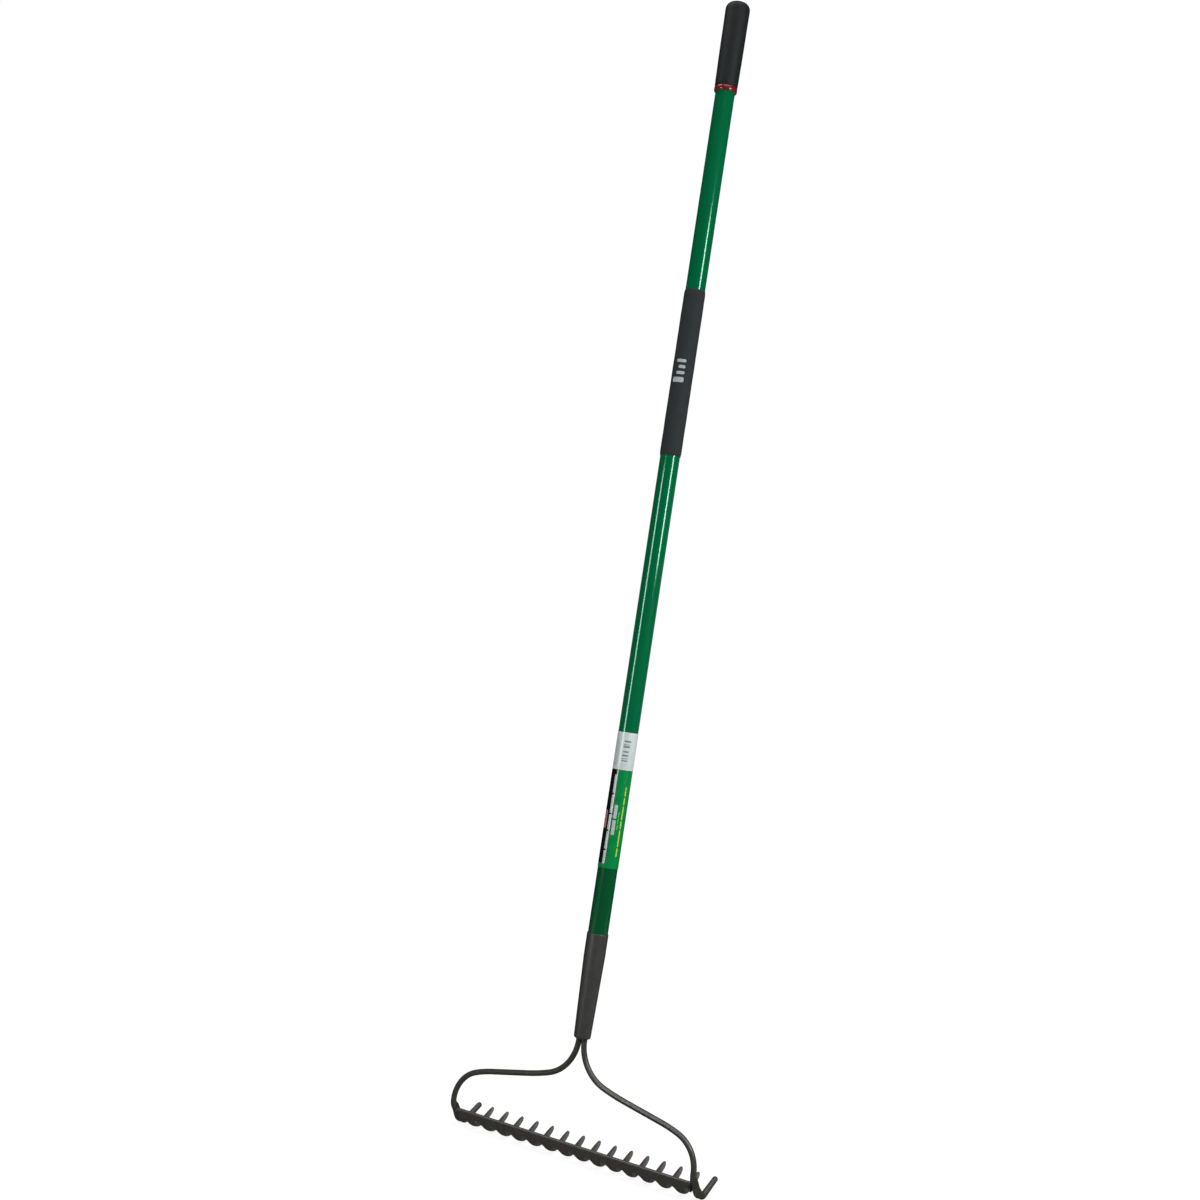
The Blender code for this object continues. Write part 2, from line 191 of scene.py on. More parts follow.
def local_z(node):
    """Lowest and highest height of a node over BASE."""
    low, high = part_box(node)
    return low.z - BASE.z, high.z - BASE.z


def half_width(node):
    low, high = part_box(node)
    return (high.x - low.x) / 2


# ---------------------------------------------------------------- materials

class Paint:
    """A Principled material with a few node helpers. Patterns are read in object space, in metres."""

    def __init__(self, name, colour, rough):
        self.mat = bpy.data.materials.new(name)
        self.mat.use_nodes = True
        self.nodes = self.mat.node_tree.nodes
        self.links = self.mat.node_tree.links
        self.shader = self.nodes["Principled BSDF"]
        self.set("Base Color", (*colour, 1.0))
        self.set("Roughness", rough)
        self.where = self.nodes.new("ShaderNodeTexCoord").outputs["Object"]

    def set(self, socket, value):
        self.shader.inputs[socket].default_value = value

    def join(self, source, target):
        self.links.new(source, target)

    def stretched(self, scale):
        """Object space scaled by (x, y, z), so that a pattern can run along the handle."""
        node = self.nodes.new("ShaderNodeMapping")
        node.inputs["Scale"].default_value = scale
        self.join(self.where, node.inputs["Vector"])
        return node.outputs["Vector"]

    def noise(self, scale, detail=3.0, rough=0.55, vector=None):
        node = self.nodes.new("ShaderNodeTexNoise")
        node.inputs["Scale"].default_value = scale
        node.inputs["Detail"].default_value = detail
        node.inputs["Roughness"].default_value = rough
        self.join(vector or self.where, node.inputs["Vector"])
        return node.outputs["Fac"]

    def cells(self, scale):
        node = self.nodes.new("ShaderNodeTexVoronoi")
        node.inputs["Scale"].default_value = scale
        self.join(self.where, node.inputs["Vector"])
        return node.outputs["Distance"]

    def spread(self, value, low, high, to_low=0.0, to_high=1.0):
        """Stretch the range low to high over the range to_low to to_high, and clamp it there."""
        node = self.nodes.new("ShaderNodeMapRange")
        limits = {"From Min": low, "From Max": high, "To Min": to_low, "To Max": to_high}
        for socket, number in limits.items():
            node.inputs[socket].default_value = number
        self.join(value, node.inputs["Value"])
        return node.outputs["Result"]

    def sums(self, operation, a, b):
        """One arithmetic step. Each item is a number or a node's output."""
        node = self.nodes.new("ShaderNodeMath")
        node.operation = operation
        for socket, item in zip(node.inputs, (a, b)):
            if isinstance(item, (int, float)):
                socket.default_value = item
            else:
                self.join(item, socket)
        return node.outputs["Value"]

    def mix(self, share, a, b):
        """Colour a blended towards colour b. Each is a colour or a node's output."""
        node = self.nodes.new("ShaderNodeMix")
        node.data_type = "RGBA"
        self.join(share, node.inputs["Factor"])
        for index, item in ((6, a), (7, b)):  # the mix node's two colour sockets
            if isinstance(item, tuple):
                node.inputs[index].default_value = (*item, 1.0)
            else:
                self.join(item, node.inputs[index])
        return node.outputs[2]

    def height(self):
        """Height above the ground, for colour that changes along the handle."""
        node = self.nodes.new("ShaderNodeSeparateXYZ")
        self.join(self.where, node.inputs["Vector"])
        return node.outputs["Z"]

    def colour(self, value):
        self.join(value, self.shader.inputs["Base Color"])

    def rough(self, value):
        self.join(value, self.shader.inputs["Roughness"])

    def bump(self, value, distance, strength):
        node = self.nodes.new("ShaderNodeBump")
        node.inputs["Strength"].default_value = strength
        node.inputs["Distance"].default_value = distance
        self.join(value, node.inputs["Height"])
        self.join(node.outputs["Normal"], self.shader.inputs["Normal"])


def glossy_pole():
    """Pultruded fibreglass: glossy green resin over fine lengthwise strands.

    Below the printed label it is rougher, and its colour is darker: partly a darker resin, partly painted
    shade for the light falling off towards the bottom.
    """
    p = Paint("pole_green", (0.001, 0.13, 0.04), 0.14)
    strands = p.noise(1.0, 4.0, 0.6, p.stretched((900.0, 900.0, 7.0)))
    slow = p.noise(1.0, 2.0, 0.5, p.stretched((60.0, 60.0, 3.0)))
    blend = p.sums("ADD", p.spread(strands, 0.3, 0.7, 0.0, 0.6), p.spread(slow, 0.3, 0.7, 0.0, 0.4))
    label_low, label_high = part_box("label_sleeve")
    # Below the label: rougher, and a darker colour that is partly painted shade for the light falling off
    # towards the bottom.
    low_shade_and_dull = p.spread(p.height(), label_low.z, label_high.z, 1.0, 0.0)
    bright = p.mix(blend, (0.0003, 0.096, 0.032), (0.0005, 0.115, 0.040))
    p.colour(p.mix(low_shade_and_dull, bright, (0.0003, 0.064, 0.0175)))
    p.rough(p.sums("ADD", p.spread(strands, 0.3, 0.75, 0.09, 0.15), p.sums("MULTIPLY", low_shade_and_dull, 0.08)))
    p.set("Specular Tint", (0.62, 1.0, 0.88, 1.0))
    p.bump(strands, 0.00003, 0.2)
    return p.mat


def foam(name, dark, light, rough, cell):
    """Closed-cell foam: matte, with fine pits and a faint mottle."""
    p = Paint(name, dark, rough)
    pits = p.cells(cell)
    grain = p.noise(cell * 1.6, 4.0, 0.6)
    mottle = p.noise(90.0, 3.0, 0.6)
    p.colour(p.mix(p.spread(p.sums("ADD", grain, mottle), 0.7, 1.3), dark, light))
    p.set("Specular IOR Level", 0.12)
    p.set("Sheen Weight", 0.01)
    p.set("Sheen Roughness", 0.5)
    p.rough(p.spread(mottle, 0.3, 0.7, rough - 0.06, rough + 0.05))
    p.bump(p.sums("ADD", p.sums("MULTIPLY", pits, 0.7), grain), 0.00022, 0.5)
    return p.mat


def satin_paint(name, base, light, rough, grain):
    """Satin paint over steel: a faint orange peel and small scuffs, with its edges painted lighter, partly as
    paint wearing thin there and partly as a painted highlight.
    """
    p = Paint(name, base, rough)
    peel = p.noise(grain * 4.0, 3.0, 0.55)
    cloud = p.noise(grain * 0.22, 4.0, 0.6)
    fleck = p.noise(grain, 5.0, 0.65)
    shade = p.spread(p.sums("ADD", cloud, fleck), 0.75, 1.3)
    # Edges painted lighter: partly paint wearing thin, partly a painted highlight.
    edge_pointiness = p.nodes.new("ShaderNodeNewGeometry").outputs["Pointiness"]
    edge = p.sums("MULTIPLY", p.spread(edge_pointiness, 0.52, 0.6), 0.45)
    rubbed_and_highlit = tuple(2.2 * c for c in light)
    p.colour(p.mix(edge, p.mix(shade, base, light), rubbed_and_highlit))
    p.rough(p.spread(fleck, 0.35, 0.7, rough - 0.05, rough + 0.09))
    p.set("Specular IOR Level", 0.4)
    p.bump(p.sums("ADD", p.sums("MULTIPLY", peel, 0.5), fleck), 0.00016, 0.45)
    return p.mat


def plain_film(name, colour, rough, level=0.5, shade=0.9):
    """Printed film or ink: nearly even colour with a faint mottle down to its shade, and a slight ripple."""
    p = Paint(name, colour, rough)
    cloud = p.noise(160.0, 3.0, 0.6)
    p.colour(p.mix(p.spread(cloud, 0.3, 0.7), tuple(shade * c for c in colour), colour))
    p.set("Specular IOR Level", level)
    p.rough(p.spread(cloud, 0.3, 0.7, rough - 0.04, rough + 0.04))
    p.bump(p.noise(260.0, 2.0), 0.00008, 0.25)
    return p.mat


def moulded(name, colour, rough):
    """Moulded plastic with a fine skin texture."""
    p = Paint(name, colour, rough)
    skin = p.noise(700.0, 4.0, 0.6)
    p.colour(p.mix(p.spread(skin, 0.3, 0.7), tuple(0.85 * c for c in colour), colour))
    p.set("Specular IOR Level", 0.5)
    p.rough(p.spread(skin, 0.3, 0.7, rough - 0.04, rough + 0.05))
    p.bump(skin, 0.00005, 0.3)
    return p.mat


pole_mat = glossy_pole()
mid_foam_mat = foam("mid_foam", (0.0135, 0.0175, 0.0190), (0.0220, 0.0270, 0.0290), 0.8, 1500.0)
end_foam_mat = foam("end_foam", (0.0058, 0.0080, 0.0085), (0.0100, 0.0130, 0.0135), 0.55, 1300.0)
ring_mat = moulded("ring_red", (0.17, 0.006, 0.012), 0.18)
plug_mat = moulded("plug_black", (0.02, 0.02, 0.02), 0.5)
ferrule_mat = satin_paint("ferrule_grey", (0.0265, 0.0275, 0.0240), (0.0375, 0.0385, 0.0335), 0.40, 500.0)
bow_mat = satin_paint("bow_grey", (0.027, 0.0265, 0.020), (0.040, 0.039, 0.030), 0.32, 420.0)
head_mat = satin_paint("head_grey", (0.036, 0.0315, 0.0270), (0.050, 0.0440, 0.0385), 0.42, 380.0)
weld_mat = satin_paint("weld_grey", (0.018, 0.017, 0.014), (0.030, 0.028, 0.023), 0.48, 700.0)
label_green = plain_film("label_green", (0.0004, 0.195, 0.043), 0.16)
label_black = plain_film("label_black", (0.0035, 0.0075, 0.0065), 0.16)
sticker_mat = plain_film("sticker_white", (0.47, 0.52, 0.52), 0.3, 0.5, 0.96)
ink_white = plain_film("ink_white", (0.36, 0.43, 0.41), 0.3)
ink_yellow = plain_film("ink_yellow", (0.42, 0.52, 0.02), 0.3)
ink_leaf = plain_film("ink_leaf", (0.11, 0.50, 0.22), 0.3)
ink_red = plain_film("ink_red", (0.38, 0.14, 0.15), 0.3)
ink_grey = plain_film("ink_grey", (0.17, 0.19, 0.19), 0.35)
ink_pale = plain_film("ink_pale", (0.38, 0.42, 0.42), 0.35)
foam_ink = plain_film("foam_ink", (0.34, 0.37, 0.40), 0.7, 0.2)


# ---------------------------------------------------------------- handle

def build_pole():
    low, high = local_z("handle_tube")
    r = half_width("handle_tube")
    bore = r - POLE_WALL
    outline = softened([(bore, low), (r, low), (r, high), (bore, high)], 0.4 * MM)
    show("pole", turned(outline), pole_mat, "handle_tube")


def build_ferrule():
    """Drawn steel ferrule: straight mouth with a rolled rim, long taper, nose turned in round the rods."""
    low, high = local_z("ferrule")
    r = half_width("ferrule")
    taper = 118.0 * MM
    nose_r = 12.1 * MM
    nose = 3.4 * MM
    wall = 0.8 * MM
    hole = ROD_R + 0.45 * MM
    loops = [twin_hole(TANG_X, hole, low + 0.2 * MM), twin_hole(TANG_X + 0.3 * MM, hole + 0.3 * MM, low)]
    for k in range(11):
        a = pi / 2 * k / 10
        loops.append(circle(nose_r - nose * (1 - sin(a)), low + nose * (1 - cos(a))))
    steps = 24
    for k in range(1, steps):
        t = k / steps
        spread = nose_r + (r - nose_r) * min(1.0, t * 1.004)
        loops.append(circle(spread, low + nose + (taper - low - nose) * t))
    for z in (taper, taper + 3 * MM, high - 4.2 * MM, high - 1.0 * MM):
        loops.append(circle(r, z))
    for k in range(1, 7):
        a = pi * k / 6
        loops.append(circle(r - wall / 2 + wall / 2 * cos(a), high - wall / 2 + wall / 2 * sin(a)))
    loops.append(circle(r - wall, taper))
    loops.append(circle(nose_r - wall, low + nose))
    loops.append(circle(nose_r - wall - 1.6 * MM, low + 1.5 * MM))
    loops.append(twin_hole(TANG_X, hole, low + 1.3 * MM))
    show("ferrule_shell", loft(loops, ring=True), ferrule_mat, "ferrule", 50.0)


def build_band(name, node, mat):
    """A thin sleeve of printed film round the pole."""
    low, high = local_z(node)
    r = half_width(node)
    outline = softened([(r - FILM, low), (r, low), (r, high), (r - FILM, high)], 0.08 * MM)
    show(name, turned(outline), mat, node)


def build_mid_grip():
    """Stretched foam sleeve: ends a little rounded and flared, surface faintly uneven along its length."""
    low, high = local_z("mid_grip")
    r = half_width("mid_grip")
    rows = [(FOAM_BORE, low), (r - 0.75 * MM, low)]
    steps = 60
    for k in range(steps + 1):
        t = k / steps
        z = low + 0.6 * MM + (high - low - 1.2 * MM) * t
        end = min(t, 1 - t) * (high - low)
        roll = 0.55 * MM * max(0.0, 1 - end / (1.6 * MM)) ** 2
        wave = 0.10 * MM * sin(9.0 * t) * sin(31.0 * t + 0.7)
        rows.append((r - 0.12 * MM - roll + wave, z))
    rows += [(r - 0.75 * MM, high), (FOAM_BORE, high)]
    obj = show("mid_grip_foam", turned(rows), mid_foam_mat, "mid_grip", 60.0)


def build_end_grip():
    """Slip-on foam grip with a domed crown, a little fuller towards the top."""
    low, high = local_z("end_grip")
    r = half_width("end_grip")
    crown = 10.5 * MM
    outer_low = 16.8 * MM
    top_inside = local_z("handle_tube")[1] + 3.0 * MM
    rows = [(FOAM_BORE, top_inside), (FOAM_BORE, low), (outer_low - 0.9 * MM, low)]
    steps = 48
    for k in range(steps + 1):
        t = k / steps
        z = low + 0.5 * MM + (high - crown - low - 0.5 * MM) * t
        roll = 0.6 * MM * max(0.0, 1 - t * (high - crown - low) / (1.6 * MM)) ** 2
        wave = 0.08 * MM * sin(7.0 * t + 0.4) * sin(19.0 * t)
        swell = 0.35 * MM * sin(pi * min(1.0, t * 1.1)) ** 2
        rows.append((outer_low + (r - outer_low) * t - roll + wave * (1 - t) + swell * (1 - t), z))
    for k in range(1, 13):
        a = pi / 2 * k / 12
        rows.append((r - crown * (1 - cos(a)), high - crown + crown * sin(a)))
    rows.append((0.4 * (r - crown), high))
    obj = show("end_grip_foam", turned(rows, ring=False), end_foam_mat, "end_grip", 60.0)


def build_ring():
    """Red trim ring: its lower edge is rounded well over, its upper edge eased against the end grip."""
    low, high = local_z("grip_ring")
    r = half_width("grip_ring")
    round_over = 2.0 * MM
    rows = [(FOAM_BORE, low), (r - round_over, low)]
    for k in range(1, 11):
        a = pi / 2 * k / 10
        rows.append((r - round_over + round_over * sin(a), low + 2.6 * MM * (1 - cos(a))))
    rows += [(r, high - 0.6 * MM), (r - 0.15 * MM, high - 0.2 * MM), (r - 0.5 * MM, high), (FOAM_BORE, high)]
    show("trim_ring", turned(rows), ring_mat, "grip_ring", 40.0)


def patch(bm, r, angle_low, angle_high, z_low, z_high, round_off=0.0):
    """A thin printed patch that lies on a round surface. Angles are in degrees from the label's front."""
    column_angle = 3.0
    columns = max(2, int((angle_high - angle_low) / column_angle) + 1)
    rows = []
    for k in range(columns + 1):
        a = FRONT + radians(angle_low + (angle_high - angle_low) * k / columns)
        edge = min(k, columns - k) / columns
        cut = round_off * max(0.0, 1 - edge / 0.2) ** 2
        rows.append([bm.verts.new((r * cos(a), r * sin(a), z)) for z in (z_low + cut, z_high - cut)])
    for left, right in zip(rows, rows[1:]):
        bm.faces.new((left[0], right[0], right[1], left[1]))


def show_prints(name, bm, mat):
    """Printed marks: open patches that all face outwards."""
    bm.normal_update()
    for f in bm.faces:
        out = f.calc_center_median()
        if f.normal.x * out.x + f.normal.y * out.y < 0:
            f.normal_flip()
    attach(name, bm, mat)


def bars(bm, r, angle_low, angle_high, z_low, z_high, seed, shortest, longest, gap):
    """A row of plain round-ended bars along the handle, where the real film has wording."""
    rng = random.Random(seed)
    z = z_low
    while z < z_high - 0.5 * shortest:
        length = min(rng.uniform(shortest, longest), z_high - z)
        patch(bm, r, angle_low, angle_high, z, z + length, 0.35 * MM)
        z += length + gap


# Height over the sticker's lower edge and thickness in mm, then the first and last angle in degrees.
STICKER_BARS = (
    (13.0, 1.6, -14.0, 20.0), (16.3, 1.0, -14.0, 20.0), (20.5, 2.2, -15.0, 19.0), (26.0, 2.0, -12.0, 20.0),
    (33.0, 2.6, -13.0, 22.0), (36.0, 1.0, -13.0, 22.0), (40.6, 2.4, -12.0, 25.0),
)

# Length in mm, then the first and last angle in degrees, from the lowest mark up.
GRIP_MARKS = ((7.5, -53.0, 9.0), (4.6, -36.0, 9.0), (4.6, -28.0, 9.0), (4.6, -42.0, 9.0))


def build_marks():
    """Everything printed on the label, the sticker and the foam, as plain generic marks."""
    r = half_width("label_sleeve") + STRIP_LIFT
    low, high = local_z("label_sleeve")

    black = bmesh.new()
    patch(black, r, -150.0, -18.0, low + 6.5 * MM, high - 0.3 * MM)
    show_prints("label_black_strip", black, label_black)

    r += INK_LIFT
    white = bmesh.new()
    bars(white, r, -39.0, -25.0, low + 6.0 * MM, high - 7.0 * MM, 3, 14.0 * MM, 34.0 * MM, 2.2 * MM)
    bars(white, r, -13.0, 5.0, low + 47.5 * MM, low + 90.0 * MM, 12, 16.0 * MM, 26.0 * MM, 2.4 * MM)
    show_prints("label_white_bars", white, ink_white)

    leaf = bmesh.new()
    bars(leaf, r, 14.5, 18.5, low + 55.0 * MM, low + 82.0 * MM, 5, 4.0 * MM, 9.0 * MM, 1.4 * MM)
    show_prints("label_leaf_bars", leaf, ink_leaf)

    yellow = bmesh.new()
    bars(yellow, r, 33.0, 41.0, low + 17.5 * MM, low + 120.0 * MM, 8, 9.0 * MM, 24.0 * MM, 1.8 * MM)
    show_prints("label_yellow_bars", yellow, ink_yellow)

    red = bmesh.new()
    patch(red, r, -84.0, -52.0, low + 55.0 * MM, low + 81.0 * MM, 3.0 * MM)
    show_prints("label_red_mark", red, ink_red)

    low, high = local_z("label_sticker")
    pale = bmesh.new()
    bars(pale, r, -66.0, -59.0, low + 4.0 * MM, high - 4.0 * MM, 21, 5.0 * MM, 13.0 * MM, 1.2 * MM)
    bars(pale, r, -55.0, -49.0, low + 4.0 * MM, high - 7.0 * MM, 22, 5.0 * MM, 13.0 * MM, 1.2 * MM)
    bars(pale, r, -45.0, -40.0, low + 6.0 * MM, high - 15.0 * MM, 23, 5.0 * MM, 13.0 * MM, 1.2 * MM)
    show_prints("sticker_pale_bars", pale, ink_pale)

    block = bmesh.new()
    for height, thick, first, last in STICKER_BARS:
        patch(block, r, first, last, low + (height - thick / 2) * MM, low + (height + thick / 2) * MM)
    show_prints("sticker_bars", block, ink_grey)

    low, high = local_z("mid_grip")
    mark = bmesh.new()
    z = low + 105.5 * MM
    gap = 4.2
    for length, first, last in GRIP_MARKS:
        patch(mark, half_width("mid_grip") + INK_LIFT, first, last, z, z + length * MM, 0.9 * MM)
        z += (length + gap) * MM
    show_prints("grip_marks", mark, foam_ink)


# ---------------------------------------------------------------- bow and head

def bent(start, heading, segments, s):
    """Point and direction at length s along straight and arc segments given as (length, radius or None)."""
    point = Vector(start)
    for length, radius in segments:
        step = min(s, length)
        if radius is None:
            point += Vector((cos(heading), sin(heading))) * step
        else:
            turn = heading + step / radius
            point += Vector((sin(turn) - sin(heading), cos(heading) - cos(turn))) * radius
            heading = turn
        s -= step
    return point, Vector((cos(heading), sin(heading)))


HEAD_SECTION = (
    (BAR_FLAT, None),
    (BEND_R * (pi / 2 - BAR_LEAN + BEND_RISE), BEND_R),
    (TINE_RUN, CURL_R),
)
TINE_END_S = sum(length for length, radius in HEAD_SECTION)
FOOT_SECTION = (
    (FOOT_BEND_R * FOOT_LEAN, FOOT_BEND_R),
    (FOOT_RUN, None),
    (TOE_R * (pi / 2 - FOOT_LEAN + TOE_RISE), TOE_R),
    (END_TINE_RUN, None),
)
FOOT_LENGTH = sum(length for length, radius in FOOT_SECTION[:2])
END_SHARE = sum(length for length, radius in FOOT_SECTION) / FOOT_LENGTH


def head_section(s):
    return bent((EDGE_Y, EDGE_Z), BAR_LEAN - pi / 2, HEAD_SECTION, s)


def arm_points():
    """(x, z) of the bow arm's centreline: shoulder bend, long ease, straight slope, ease and corner bend."""
    shoulder = (
        (SHOULDER_R * (pi / 2 - ARM_SLOPE - SHOULDER_EASE), SHOULDER_R),
        (SHOULDER_EASE_R * SHOULDER_EASE, SHOULDER_EASE_R),
    )
    corner = (
        (CORNER_EASE_R * CORNER_EASE, -CORNER_EASE_R),
        (CORNER_R * (pi / 2 - ARM_SLOPE - CORNER_EASE), -CORNER_R),
    )
    start = (TANG_X, SHOULDER_Z)
    first = bent((0.0, 0.0), -pi / 2, shoulder, 1.0)[0].x
    last = bent((0.0, 0.0), -ARM_SLOPE, corner, 1.0)[0].x
    reach = (BOW_HALF - TANG_X - first - last) / cos(ARM_SLOPE)
    segments = shoulder + ((reach, None),) + corner
    total = sum(length for length, radius in segments)
    steps = 84
    return [bent(start, -pi / 2, segments, total * k / steps)[0] for k in range(steps + 1)]


def arm_depth(z):
    """How far the arm has eased forward of the handle's axis at a height."""
    share = min(1.0, max(0.0, (-10.0 * MM - z) / (95.0 * MM)))
    return ARM_Y * share * share * (3 - 2 * share)


def rod_stations(side):
    """(point, share, tip) down one rod. Share is 1 at the foot's end and grows on; tip rounds the far end."""
    stations = [(Vector((TANG_X, 0.0, z * MM)), 0.0, 0.0) for z in (150.0, 40.0, 16.0, 6.0)]
    stations += [(Vector((p.x, arm_depth(p.y), p.y)), 0.0, 0.0) for p in arm_points()]
    total = END_SHARE * FOOT_LENGTH
    round_tip = 4.0 * MM
    spots = [total * k / 80 for k in range(77)]
    spots += [total - round_tip * (1 - sin(pi / 2 * k / 9)) for k in range(10)]
    for s in sorted(spots):
        point = bent((ARM_Y, FOOT_Z), -pi / 2, FOOT_SECTION, s)[0]
        tip = max(0.0, 1 - (total - s) / round_tip)
        stations.append((Vector((BOW_HALF, point.x, point.y)), s / FOOT_LENGTH, tip))
    return [(Vector((side * p.x, p.y, p.z)), share, tip) for p, share, tip in stations]


def foot_radius(share):
    """The rod's radius: it thickens down the foot and thins along the end tine."""
    if share <= 1.0:
        return ROD_R + (END_TINE_R - ROD_R) * share
    return END_TINE_R + (END_TIP_R - END_TINE_R) * (share - 1.0) / (END_SHARE - 1.0)


def hump(share, low, high):
    """A smooth rise and fall between two shares, nought outside them."""
    return sin(pi * min(1.0, max(0.0, (share - low) / (high - low))))


def build_rod(name, side, node):
    """Round rod swept along its path: its foot is beaten broad in front and then behind, its tine blunt."""
    sides = 28
    stations = rod_stations(side)
    front = Vector((0.0, 1.0, 0.0))
    loops = []
    for k, (point, share, tip) in enumerate(stations):
        before = stations[max(k - 1, 0)][0]
        after = stations[min(k + 1, len(stations) - 1)][0]
        along = (after - before).normalized()
        front = (front - along * front.dot(along)).normalized()
        across = along.cross(front)
        ahead = FRONT_WEB * hump(share, 0.0, 0.65)
        behind = BACK_WEB * hump(share, 0.3, 1.02)
        radius = foot_radius(share) * max(0.12, sqrt(max(0.0, 1 - tip * tip)))
        wide = radius - 0.05 * (ahead + behind)
        loop = []
        for j in range(sides):
            a = tau * j / sides
            reach = radius + ahead * max(0.0, cos(a)) + behind * max(0.0, -cos(a))
            loop.append(point + front * (reach * cos(a)) + across * (wide * sin(a)))
        loops.append(loop)
    show(name, loft(loops), bow_mat, node, 60.0)


# Length along the head's section, and the tine's full width there in mm.
WIDTHS = (
    (CUSP_S, 26.9), (CUSP_S + 1.0 * MM, 21.8), (CUSP_S + 2.6 * MM, 17.0), (CUSP_S + 5.0 * MM, 13.3),
    (CUSP_S + NECK, 11.4), (CUSP_S + 14.0 * MM, 10.7), (TINE_END_S - 27.0 * MM, 9.2),
    (TINE_END_S - 16.0 * MM, 8.9), (TINE_END_S - 10.0 * MM, 8.3), (TINE_END_S - 5.0 * MM, 6.9),
    (TINE_END_S - 1.5 * MM, 4.9), (TINE_END_S, 2.6),
)


def tine_width(s):
    """Full width of an inner tine at length s: a broad root, a neck and a long taper to a blunt point."""
    for k, ((s0, w0), (s1, w1)) in enumerate(zip(WIDTHS, WIDTHS[1:])):
        if s <= s1:
            t = (s - s0) / (s1 - s0)
            before = WIDTHS[max(k - 1, 0)][1]
            after = WIDTHS[min(k + 2, len(WIDTHS) - 1)][1]
            lift = 0.5 * (after - w0) if k else w1 - w0
            rise = 0.5 * (w1 - before) if k else w1 - w0
            curve = w0 + (w1 - w0) * t
            bow = 0.25 * t * (1 - t) * ((rise - (w1 - w0)) * (1 - t) - (lift - (w1 - w0)) * t)
            return (curve + bow) * MM
    return WIDTHS[-1][1] * MM


def head_point(x, s, offset):
    """A point of the stamping: x along the bar, s down its section, offset towards its back."""
    point, along = head_section(s)
    back = Vector((along.y, -along.x))
    spot = point + back * offset
    return Vector((x, spot.x, spot.y))


def end_thinning(x):
    """Share of the thickness left where the bar's ends are dressed a little thinner for welding."""
    past = (abs(x) - INNER_TINES * PITCH / 2) / (BAR_HALF - INNER_TINES * PITCH / 2)
    return 1.0 - 0.08 * max(0.0, past)


def head_thickness(s, across):
    """Thickness at length s: a rounded upper edge, a full bar, then tines thinned to their tips and edges."""
    if s < EDGE_ROUND:
        return BAR_THICK * (0.45 + 0.55 * sqrt(s / EDGE_ROUND))
    if s <= CUSP_S:
        return BAR_THICK
    fade = (s - CUSP_S) / (TINE_END_S - CUSP_S)
    middle = BAR_THICK * (1.0 - 0.42 * fade)
    thin = min(1.0, (s - CUSP_S) / NECK)
    return middle * (1.0 - 0.45 * thin * across * across)


def build_head():
    """One stamping: the bar and its inner tines, bent forward at the foot, with its edges rounded."""
    bm = bmesh.new()
    fine = 8
    across = [-1 + 2 * k / fine for k in range(fine + 1)]
    bar_rows = [d * MM for d in (0.0, 0.35, 0.9, 1.5, 2.2, 4.0, 6.0, 8.0, 10.0, 12.0)] + [CUSP_S]
    tine_rows = [CUSP_S + d * MM for d in (0.35, 1.0, 1.7, 2.6, 3.7, 5.0, 6.6, 8.5)]
    left = TINE_END_S - tine_rows[-1]
    tine_rows += [tine_rows[-1] + left * (1 - (1 - k / 34) ** 1.15) for k in range(1, 35)]
    roots = [(k - (INNER_TINES - 1) / 2) * PITCH for k in range(INNER_TINES)]
    columns = [(-BAR_HALF, 0.0)]
    for root in roots:
        columns += [(root + a * PITCH / 2, a) for a in across[:-1]]
    columns += [(roots[-1] + PITCH / 2, 1.0), (BAR_HALF, 0.0)]

    def pair(x, s, a):
        t = head_thickness(s, a) * end_thinning(x) / 2
        return bm.verts.new(head_point(x, s, t)), bm.verts.new(head_point(x, s, -t))

    def skin(a, b, c, d):
        bm.faces.new((a[0], b[0], c[0], d[0]))
        bm.faces.new((a[1], d[1], c[1], b[1]))

    def wall(a, b):
        bm.faces.new((a[0], a[1], b[1], b[0]))

    grid = [[pair(x, s, 0.0) for x, a in columns] for s in bar_rows]
    for upper, lower in zip(grid, grid[1:]):
        for k in range(len(columns) - 1):
            skin(upper[k], upper[k + 1], lower[k + 1], lower[k])
        wall(upper[0], lower[0])
        wall(lower[-1], upper[-1])
    for k in range(len(columns) - 1):
        wall(grid[0][k + 1], grid[0][k])
    for side, outer, inner in ((-1.0, grid[-1][0], grid[-1][1]), (1.0, grid[-1][-1], grid[-1][-2])):
        for s in tine_rows[:4]:
            low_outer = pair(side * BAR_HALF, s, 0.0)
            low_inner = pair(side * (BOW_HALF - 0.45 * tine_width(s)), s, 0.0)
            skin(outer, inner, low_inner, low_outer)
            wall(outer, low_outer)
            wall(inner, low_inner)
            outer, inner = low_outer, low_inner
        wall(outer, inner)
    for i, root in enumerate(roots):
        first = 1 + fine * i
        above = grid[-1][first : first + fine + 1]
        for s in tine_rows:
            half = tine_width(s) / 2
            row = [pair(root + a * half, s, a) for a in across]
            for k in range(fine):
                skin(above[k], above[k + 1], row[k + 1], row[k])
            wall(above[0], row[0])
            wall(row[fine], above[fine])
            above = row
        for k in range(fine):
            wall(above[k], above[k + 1])
    obj = show("head", bm, head_mat, "rake_head", 40.0)
    bevel = obj.modifiers.new("edges", "BEVEL")
    bevel.width = 0.75 * MM
    bevel.segments = 3
    bevel.limit_method = "ANGLE"
    bevel.angle_limit = radians(50.0)
    bevel.harden_normals = True


